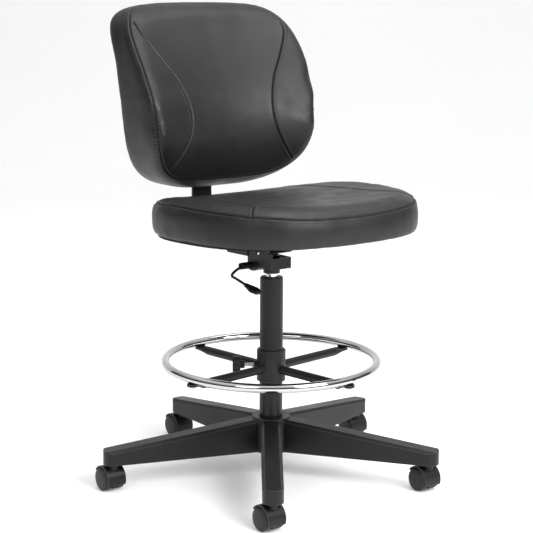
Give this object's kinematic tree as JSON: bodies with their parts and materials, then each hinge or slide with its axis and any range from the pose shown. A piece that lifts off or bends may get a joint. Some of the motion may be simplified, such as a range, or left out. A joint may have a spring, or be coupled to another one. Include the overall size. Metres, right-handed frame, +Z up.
{
  "type": "drafting chair",
  "caption": "Armless drafting chair with padded vinyl seat and back, gas lift, chromed foot ring and a caster base.",
  "frame": {"origin": "on the floor under the axis of the column", "axes": "+Z up, the chair faces -Y, the lever is on the -X side"},
  "size_m": [0.7186, 0.699, 1.014],
  "materials": {
    "black_nylon": "satin",
    "black_steel": "satin black powder coat",
    "chrome_steel": "polished",
    "bright_steel": "bright zinc",
    "cage_brass": "plain",
    "red_plastic": "satin",
    "plywood": "raw",
    "black_board": "painted black",
    "black_vinyl": "soft sheen",
    "wheel_nylon": "satin",
    "soft_plastic": "matt"
  },
  "bodies": {
    "base": {"star_base": "black_nylon", "column_tube": "black_steel", "guide_bush": "soft_plastic", "lower_race": "bright_steel"},
    "cage": {"ball_cage": "cage_brass"},
    "rod": {"piston_rod": "bright_steel", "piston": "bright_steel", "upper_race": "bright_steel", "rod_clip": "bright_steel"},
    "seat": {"gas_cylinder": "chrome_steel", "taper_socket": "black_steel", "mechanism_chassis": "black_steel", "seat_plate": "black_steel", "mechanism_screws": "bright_steel", "seat_board": "black_board", "seat_cushion": "black_vinyl", "back_bar": "black_steel", "bar_bolts": "bright_steel", "lever_collar": "soft_plastic"},
    "lever": {"lever_rod": "black_steel", "lever_paddle": "soft_plastic"},
    "button": {"valve_button": "red_plastic"},
    "back": {"back_channel": "black_steel", "back_detent": "bright_steel", "back_inner_shell": "plywood", "back_cushion": "black_vinyl", "back_outer_shell": "black_nylon", "back_screws": "bright_steel"},
    "ring": {"ring_liner": "soft_plastic", "ring_hub": "black_nylon", "ring_spokes": "black_steel", "ring_tube": "chrome_steel", "spoke_screws": "bright_steel"},
    "knob": {"knob_grip": "soft_plastic", "knob_stud": "bright_steel"},
    "caster_1": {"caster_1_hood": "black_nylon", "caster_1_stem": "bright_steel", "caster_1_axle": "bright_steel"},
    "wheel_1_left": {"caster_1_wheel_left": "wheel_nylon"},
    "wheel_1_right": {"caster_1_wheel_right": "wheel_nylon"},
    "caster_2": {"caster_2_hood": "black_nylon", "caster_2_stem": "bright_steel", "caster_2_axle": "bright_steel"},
    "wheel_2_left": {"caster_2_wheel_left": "wheel_nylon"},
    "wheel_2_right": {"caster_2_wheel_right": "wheel_nylon"},
    "caster_3": {"caster_3_hood": "black_nylon", "caster_3_stem": "bright_steel", "caster_3_axle": "bright_steel"},
    "wheel_3_left": {"caster_3_wheel_left": "wheel_nylon"},
    "wheel_3_right": {"caster_3_wheel_right": "wheel_nylon"},
    "caster_4": {"caster_4_hood": "black_nylon", "caster_4_stem": "bright_steel", "caster_4_axle": "bright_steel"},
    "wheel_4_left": {"caster_4_wheel_left": "wheel_nylon"},
    "wheel_4_right": {"caster_4_wheel_right": "wheel_nylon"},
    "caster_5": {"caster_5_hood": "black_nylon", "caster_5_stem": "bright_steel", "caster_5_axle": "bright_steel"},
    "wheel_5_left": {"caster_5_wheel_left": "wheel_nylon"},
    "wheel_5_right": {"caster_5_wheel_right": "wheel_nylon"}
  },
  "joints": [
    {"name": "seat_swivel", "type": "hinge", "parent": "base", "child": "rod", "pos_m": [0, 0, 0.3], "axis": [0, 0, 1], "continuous": true},
    {"name": "cage_roll", "type": "hinge", "parent": "base", "child": "cage", "pos_m": [0, 0, 0.061], "axis": [0, 0, 1], "continuous": true},
    {"name": "seat_lift", "type": "slide", "parent": "rod", "child": "seat", "axis": [0, 0, 1], "range_m": [0, 0.24]},
    {"name": "lever_rock", "type": "hinge", "parent": "seat", "child": "lever", "pos_m": [-0.028, 0.043, 0.463], "axis": [0, 1, 0], "range_deg": [0, 6], "stiffness_Nm_per_rad": 0.6, "springref_deg": -11.46},
    {"name": "button_press", "type": "slide", "parent": "seat", "child": "button", "axis": [0, 0, -1], "range_m": [0, 0.0036]},
    {"name": "back_height", "type": "slide", "parent": "seat", "child": "back", "axis": [0, 0, 1], "range_m": [0, 0.06]},
    {"name": "ring_height", "type": "slide", "parent": "base", "child": "ring", "axis": [0, 0, 1], "range_m": [-0.07, 0.12]},
    {"name": "knob_turn", "type": "hinge", "parent": "ring", "child": "knob", "pos_m": [-0.04792, 0.03611, 0.248], "axis": [-0.7986, 0.6018, 0], "range_deg": [0, 360]},
    {"name": "caster_1_swivel", "type": "hinge", "parent": "base", "child": "caster_1", "pos_m": [0, 0.351, 0.06], "axis": [0, 0, 1], "continuous": true},
    {"name": "caster_1_spin_left", "type": "hinge", "parent": "caster_1", "child": "wheel_1_left", "pos_m": [-0.017, 0.365, 0.025], "axis": [1, 0, 0], "continuous": true},
    {"name": "caster_1_spin_right", "type": "hinge", "parent": "caster_1", "child": "wheel_1_right", "pos_m": [0.017, 0.365, 0.025], "axis": [1, 0, 0], "continuous": true},
    {"name": "caster_2_swivel", "type": "hinge", "parent": "base", "child": "caster_2", "pos_m": [-0.33382, 0.10847, 0.06], "axis": [0, 0, 1], "continuous": true},
    {"name": "caster_2_spin_left", "type": "hinge", "parent": "caster_2", "child": "wheel_2_left", "pos_m": [-0.35082, 0.12247, 0.025], "axis": [1, 0, 0], "continuous": true},
    {"name": "caster_2_spin_right", "type": "hinge", "parent": "caster_2", "child": "wheel_2_right", "pos_m": [-0.31682, 0.12247, 0.025], "axis": [1, 0, 0], "continuous": true},
    {"name": "caster_3_swivel", "type": "hinge", "parent": "base", "child": "caster_3", "pos_m": [-0.20631, -0.28397, 0.06], "axis": [0, 0, 1], "continuous": true},
    {"name": "caster_3_spin_left", "type": "hinge", "parent": "caster_3", "child": "wheel_3_left", "pos_m": [-0.22331, -0.26997, 0.025], "axis": [1, 0, 0], "continuous": true},
    {"name": "caster_3_spin_right", "type": "hinge", "parent": "caster_3", "child": "wheel_3_right", "pos_m": [-0.18931, -0.26997, 0.025], "axis": [1, 0, 0], "continuous": true},
    {"name": "caster_4_swivel", "type": "hinge", "parent": "base", "child": "caster_4", "pos_m": [0.20631, -0.28397, 0.06], "axis": [0, 0, 1], "continuous": true},
    {"name": "caster_4_spin_left", "type": "hinge", "parent": "caster_4", "child": "wheel_4_left", "pos_m": [0.18931, -0.26997, 0.025], "axis": [1, 0, 0], "continuous": true},
    {"name": "caster_4_spin_right", "type": "hinge", "parent": "caster_4", "child": "wheel_4_right", "pos_m": [0.22331, -0.26997, 0.025], "axis": [1, 0, 0], "continuous": true},
    {"name": "caster_5_swivel", "type": "hinge", "parent": "base", "child": "caster_5", "pos_m": [0.33382, 0.10847, 0.06], "axis": [0, 0, 1], "continuous": true},
    {"name": "caster_5_spin_left", "type": "hinge", "parent": "caster_5", "child": "wheel_5_left", "pos_m": [0.31682, 0.12247, 0.025], "axis": [1, 0, 0], "continuous": true},
    {"name": "caster_5_spin_right", "type": "hinge", "parent": "caster_5", "child": "wheel_5_right", "pos_m": [0.35082, 0.12247, 0.025], "axis": [1, 0, 0], "continuous": true}
  ],
  "couplings": [
    {"joint": "button_press", "follows": "lever_rock", "m_per_rad": 0.033},
    {"joint": "cage_roll", "follows": "seat_swivel", "ratio": 0.5}
  ]
}
